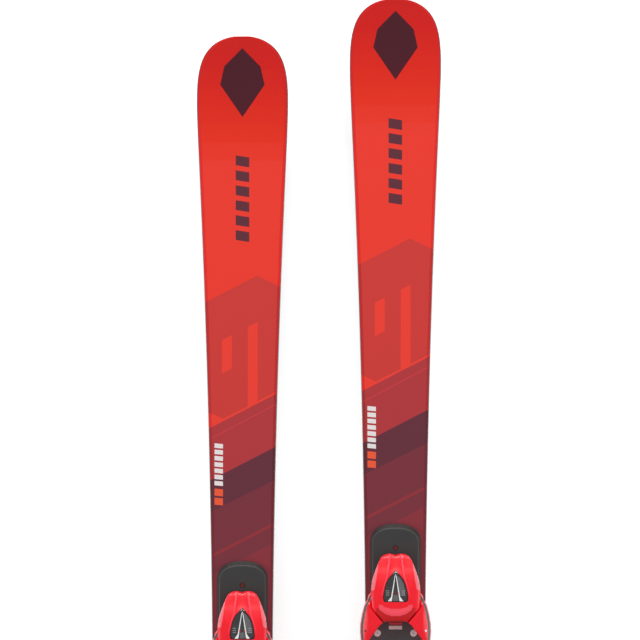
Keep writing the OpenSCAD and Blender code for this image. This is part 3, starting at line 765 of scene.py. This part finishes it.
        # the two pin ends are alike: the left one is painted dark as shade and the right one white
        # as a painted glint
        rivet_painted_light = black_moulded if s < 0 else screw_painted_shine
        piece(f"toe_wing_{hand}", bm, [shell_red, stripe_grey, rivet_painted_light, shell_painted_sheen], side,
              f"wing_{hand}", [f"toe_wing_{hand}"], sharp=40)

    # a plain two-colour label behind the housing
    bm = bmesh.new()
    prism(bm, [(-8, 757), (8, 757), (8, 759.6), (-8, 759.6)], DECK + 13, DECK + 13.4)
    for f in bm.faces:
        f.material_index = 1
    prism(bm, [(-8, 761), (8, 761), (8, 765.4), (-8, 765.4)], DECK + 13, DECK + 13.4)
    piece("toe_label", bm, [label_white, label_red], side, "ski", (), 0.1)

# ---------------------------------------------------------------- foot rest
def rest_roof(x, v):
    return DECK + 22 - 0.5 * smooth((abs(x) - 18) / 8)


REST = mirrored([(0, 799.1), (22, 799.1), (25.5, 800.6), (26.9, 804), (26.9, 838), (25.5, 841.4),
                 (22, 842.9), (0, 842.9)])
for side in SIDES:
    bm = bmesh.new()
    dome(bm, rounded(REST, 1, 2.0), lambda x, v: (0.0, min(832.0, max(810.0, v))), DECK + 17.6,
         rest_roof, 1.2)
    groove = bmesh.new()
    prism(groove, [(-30, 816.6), (30, 816.6), (30, 825.4), (-30, 825.4)], DECK + 10, DECK + 19.7)
    bm = carved(bm, groove)
    # grooves between the low-friction strips
    for i in range(4):
        v = 805.5 + 9.4 * i
        strip = [(-20, v), (20, v), (20, v + 3.2), (-20, v + 3.2)]
        sink(bm, imprint(bm, strip, facing_up, 1), 0.7, 1)
    piece("afd_slider", bm, [rest_grey, chassis_black], side, "foot_rest", ["afd_slider"],
          sharp=35)

# ---------------------------------------------------------------- heel piece
HEEL_SIDE = [(1085, 63), (1096, 69), (1112, 73), (1150, 73), (1172, 70), (1184, 62), (1184, 56),
             (1178, 49), (1160, 33), (1152, 26), (1145, 23.8), (1136, 25.5), (1118, 29),
             (1104, 24.2), (1083, 24.2)]
# the room for the boot's heel between the lip and the lower jaw, in side view
MOUTH = [(1070, 29.4), (1083, 29.4), (1097, 31), (1101, 40), (1101, 56.5), (1086, 58.5),
         (1070, 58.5)]
PIVOT_V, PIVOT_Z, LEVER_V, LEVER_Z = 1145, 34, 1140, 79


def pillow(bm, outline, half, edge_shade=3.0, steps=5):
    """A body drawn in side view by its (v, z) outline, rounded over by edge at its two cheeks."""
    n = len(outline)
    normals = []
    for i in range(n):
        (v0, z0), (v1, z1) = outline[i - 1], outline[(i + 1) % n]
        size = math.hypot(v1 - v0, z1 - z0)
        normals.append(((z1 - z0) / size, -(v1 - v0) / size))
    turn = sum(a[0] * b[1] - b[0] * a[1] for a, b in zip(outline, outline[1:] + outline[:1]))
    inward = -1 if turn > 0 else 1
    rings = []
    for sign in (-1, 1):
        turns = [math.pi / 2 * i / steps for i in range(steps + 1)]
        for a in turns if sign > 0 else reversed(turns):
            ring = []
            x, move = sign * (half - edge_shade * (1 - math.sin(a))), 0.6 * edge_shade * (1 - math.cos(a))
            for (v, z), (nv, nz) in zip(outline, normals):
                mv, mz = v + inward * nv * move, z + inward * nz * move
                ring.append(bm.verts.new((x, at(mv), DECK + mz)))
            rings.append(ring)
    for a, b in zip(rings, rings[1:]):
        for i in range(n):
            bm.faces.new((a[i], b[i], b[(i + 1) % n], a[(i + 1) % n]))
    for end in (rings[0], rings[-1]):
        bmesh.ops.triangulate(bm, faces=[bm.faces.new(end)])
    bmesh.ops.recalc_face_normals(bm, faces=bm.faces)
    bm.normal_update()


def divided(points, longest=3.0):
    """A closed outline with its long edges divided."""
    out = []
    for (a0, b0), (a1, b1) in zip(points, points[1:] + points[:1]):
        n = max(1, math.ceil(math.hypot(a1 - a0, b1 - b0) / longest))
        out += [(a0 + (a1 - a0) * i / n, b0 + (b1 - b0) * i / n) for i in range(n)]
    return out


# the broad part of the housing that holds the boot's heel, in side view
JAW_SIDE = [(1101, 49), (1076, 50), (1076, 61), (1085, 64), (1096, 69), (1112, 72), (1150, 72),
            (1163, 68), (1163, 58), (1150, 49)]


for side in SIDES:
    # the narrow body and the broad jaw are cut one by one and then joined
    halves = []
    for outline, half, rounding in ((HEEL_SIDE, 22.3, 2.6), (JAW_SIDE, 30.8, 7.0)):
        bm = bmesh.new()
        pillow(bm, divided(rounded(outline, 1, 50.0), 3.0), half, edge_shade=rounding)
        jaw = bmesh.new()
        turned(jaw, [(34.2, 29.6), (34.2, 57.4), (28, 57.4), (28, 80)], (0, 1061, DECK), 72)
        axle = bmesh.new()
        turned(axle, [(4.05, -40), (4.05, 40)], (0, PIVOT_V, DECK + PIVOT_Z), axis="x")
        screw_bore = bmesh.new()
        turned(screw_bore, [(5.9, -10), (5.9, 12)], (0, 1182, DECK + HEEL_AXIS_Z), axis="v")
        gap = bmesh.new()
        prism(gap, [(-10.5, 1128), (10.5, 1128), (10.5, 1152), (-10.5, 1152)],
              DECK + 73, DECK + 90)
        scale = bmesh.new()
        prism(scale, [(-6, 1109), (6, 1109), (6, 1131), (-6, 1131)], DECK + 69.5, DECK + 76)
        spring_room = bmesh.new()
        turned(spring_room, [(8.2, 0), (8.2, 66)], (0, 1106, DECK + HEEL_AXIS_Z), axis="v")
        cutters = [jaw, axle, screw_bore, gap, scale, spring_room]
        if outline is HEEL_SIDE:
            mouth = bmesh.new()
            pillow(mouth, MOUTH, 40, edge_shade=0.1, steps=1)
            cutters.append(mouth)
        halves.append(carved(bm, *cutters, solver="MANIFOLD"))
    bm, broad = halves
    merged(bm, broad)
    for x in (-13, 13):
        ear, foot = bmesh.new(), bmesh.new()
        turned(ear, [(5.9, -2.5), (6.5, -2), (6.5, 2), (5.9, 2.5)], (x, LEVER_V, DECK + LEVER_Z),
               axis="x")
        prism(foot, [(x - 2.4, LEVER_V - 6.4), (x + 2.4, LEVER_V - 6.4),
                     (x + 2.4, LEVER_V + 6.4), (x - 2.4, LEVER_V + 6.4)],
              DECK + 69, DECK + LEVER_Z)
        for shell in (ear, foot):
            pin_hole = bmesh.new()
            turned(pin_hole, [(PIN_HOLE_R, -5), (PIN_HOLE_R, 5)],
                   (x, LEVER_V, DECK + LEVER_Z), axis="x")
            merged(bm, carved(shell, pin_hole))
    # darker cheeks beside the scale
    for s in (-1, 1):
        imprint(bm, [(s * 8.5, 1098), (s * 11, 1098), (s * 17, 1160), (s * 14.5, 1160)],
                lambda f: f.normal.z > 0.5 and f.calc_center_median().z > DECK + 66, 1)
    piece("heel_housing", bm, [shell_red, shell_dark_and_shade, steel], side, "heel", ["heel_housing"],
          sharp=38)

    # the lever, drawn level and then tilted up to its place
    bm = bmesh.new()
    half = [(0, LEVER_V - 1), (9, LEVER_V - 1), (9.4, LEVER_V + 10), (10.5, LEVER_V + 24),
            (14, LEVER_V + 38), (18.6, LEVER_V + 51), (20.8, LEVER_V + 62), (19.8, LEVER_V + 67.5),
            (15.6, LEVER_V + 71.6), (0, LEVER_V + 71.9)]

    def lever_roof(x, v):
        dish = 1 - smooth((math.hypot(x, (v - LEVER_V - 56)) - 5) / 6)
        return DECK + LEVER_Z + 4.5 - 1.6 * dish - 0.6 * smooth((abs(x) - 8) / 12)

    dome(bm, rounded(mirrored(half), 1, 2.0),
         lambda x, v: (0.0, min(LEVER_V + 58.0, max(LEVER_V + 6.0, v))), DECK + LEVER_Z - 1.5,
         lever_roof, 1.4)
    for i in range(3):
        v = LEVER_V + 14 + 7 * i
        sink(bm, imprint(bm, [(-6, v), (6, v), (6, v + 3), (-6, v + 3)], facing_up, 0), 1.0)
    hub = Vector((0, at(LEVER_V), DECK + LEVER_Z))
    bmesh.ops.rotate(bm, cent=hub, matrix=Matrix.Rotation(math.radians(-25), 3, "X"),
                     verts=bm.verts)
    turned(bm, [(5.3, -9.8), (5.8, -9.3), (5.8, 9.3), (5.3, 9.8)], (0, LEVER_V, DECK + LEVER_Z),
           axis="x")
    turned(bm, [(2.6, -15.5), (3, -15), (3, 15), (2.6, 15.5)], (0, LEVER_V, DECK + LEVER_Z),
           24, "x")
    piece("heel_lever", bm, [black_moulded], side, "lever", ["heel_lever"],
          sharp=38)

    # the brake pedal with its ribbed tread, drawn level and then tilted up to its place
    bm = bmesh.new()
    half = [(0, BRAKE_V), (14, BRAKE_V), (14.6, BRAKE_V - 10), (21.5, BRAKE_V - 14),
            (22.8, BRAKE_V - 41), (21, BRAKE_V - 46.5), (16.5, BRAKE_V - 50.8), (0, BRAKE_V - 51)]
    dome(bm, rounded(mirrored(half), 1, 2.0),
         lambda x, v: (0.0, min(BRAKE_V - 6.0, max(BRAKE_V - 36.0, v))), DECK + BRAKE_Z,
         lambda x, v: DECK + BRAKE_Z + 5, 1.2)
    for i in range(5):
        v = BRAKE_V - 18 - 6 * i
        w = 17 - 0.4 * i
        tread = [(-w, v), (w, v), (w, v - 3), (-w, v - 3)]
        sink(bm, imprint(bm, tread, facing_up, 1), -1.1, 1)
    hub = Vector((0, at(BRAKE_V), DECK + BRAKE_Z))
    bmesh.ops.rotate(bm, cent=hub, matrix=Matrix.Rotation(math.radians(65), 3, "X"),
                     verts=bm.verts)
    turned(bm, [(5.4, -14), (6, -13.4), (6, 13.4), (5.4, 14)], (0, BRAKE_V, DECK + BRAKE_Z),
           axis="x")
    piece("brake_pedal", bm, [black_moulded, chassis_black], side, "brake", ["brake_pedal"],
          sharp=38)

# ---------------------------------------------------------------- nodes kept as they are
# each with its material and the width of its small rounding, in mm
KEPT = {
    "wood_core": (wood, 0), "toe_chassis": (chassis_black, 0.5), "toe_wing_pins": (steel, 0),
    "toe_spring": (spring_steel, 0), "toe_release_screw": (steel, 0.3),
    "heel_track": (steel, 0.2), "heel_carriage": (black_moulded, 0.7),
    "heel_axle": (steel, 0.3), "heel_adjust_screw": (steel, 0.2),
    "heel_spring": (spring_steel, 0), "heel_release_screw": (steel, 0.3),
    "heel_indicator": (white_mark, 0.2), "brake_arms": (steel, 0),
    "brake_feet": (black_moulded, 0.6),
}
for side in SIDES:
    for node_name, (look, width) in KEPT.items():
        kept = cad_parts[f"{side}_{node_name}"]
        kept.data.materials.clear()
        kept.data.materials.append(look)
        if width:
            weld = kept.modifiers.new("weld", "WELD")
            weld.merge_threshold = 0.00001
            soften(kept, width)

# ---------------------------------------------------------------- floor, light and camera
bm = bmesh.new()
bmesh.ops.create_grid(bm, x_segments=8, y_segments=8, size=9)
floor_mesh = bpy.data.meshes.new("floor")
bm.to_mesh(floor_mesh)
bm.free()
floor = bpy.data.objects.new("floor", floor_mesh)
scene.collection.objects.link(floor)
pale = material("floor_pale", (0.9, 0.9, 0.9, 1), rough=0.8, grain=40, relief=0.2)
pale.node_tree.nodes["Principled BSDF"].inputs["Emission Color"].default_value = (1, 1, 1, 1)
pale.node_tree.nodes["Principled BSDF"].inputs["Emission Strength"].default_value = 0.5
floor_mesh.materials.append(pale)

world = bpy.data.worlds.new("studio")
scene.world = world
world.use_nodes = True
world.node_tree.nodes["Background"].inputs["Color"].default_value = (1, 1, 1, 1)
world.node_tree.nodes["Background"].inputs["Strength"].default_value = 0.36


def soft_light(name, place, aim, width, height, power):
    data = bpy.data.lights.new(name, "AREA")
    data.shape, data.size, data.size_y, data.energy = "RECTANGLE", width, height, power
    lamp = bpy.data.objects.new(name, data)
    lamp.location = place
    lamp.rotation_mode = "QUATERNION"
    lamp.rotation_quaternion = (Vector(aim) - Vector(place)).to_track_quat("-Z", "Y")
    scene.collection.objects.link(lamp)


soft_light("left_soft", (-3.3, 0.3, 1.8), (0, 0.3, 0), 3.2, 1.3, 44)
soft_light("right_soft", (3.3, 0.3, 1.8), (0, 0.3, 0), 3.2, 1.3, 44)
soft_light("front_soft", (0, 4.0, 2.7), (0, 0.3, 0), 2.6, 1.4, 118)
soft_light("overhead_veil", (0, 0.3, 16), (0, 0.3, 0), 7, 7, 20)

camera_data = bpy.data.cameras.new("camera")
camera_data.sensor_width = 36
camera_data.lens = 600
camera_data.clip_end = 100
camera = bpy.data.objects.new("camera", camera_data)
camera.location = (0.0013, 0.4833, 0.065 + 0.7784 * 600 / 36)
scene.collection.objects.link(camera)
scene.camera = camera
